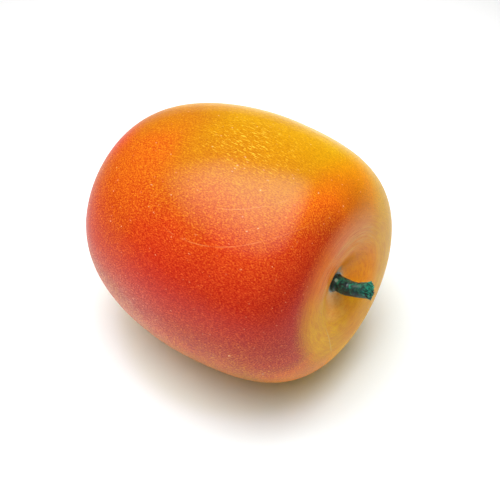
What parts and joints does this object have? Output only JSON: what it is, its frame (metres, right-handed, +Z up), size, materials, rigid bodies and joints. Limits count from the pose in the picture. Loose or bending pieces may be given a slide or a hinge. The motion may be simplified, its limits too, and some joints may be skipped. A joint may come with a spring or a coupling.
{
  "type": "wooden play apple",
  "caption": "Turned wooden play apple lying on its side, sprayed red over yellow, with a short bent green cord stalk glued in a shallow well.",
  "frame": {"origin": "on the surface it lies on, below the middle of the whole apple with its stalk", "axes": "+Z up as it lies, +X along the apple towards the stalk; the turned body's own axis rises 4.8 degrees from +X towards +Z"},
  "size_m": [0.0714, 0.06, 0.0601],
  "materials": {
    "painted_wood": "yellow ground with sprayed red, speckled, under clear satin lacquer",
    "cord": "dark green lacquered paper cord, glossy and uneven, with a frayed cut end",
    "dried_glue": "dried glue, part clear and tinted green"
  },
  "bodies": {
    "root": {"wood_body": "painted_wood", "cord_stem": "cord", "glue_bead": "dried_glue"}
  },
  "joints": []
}
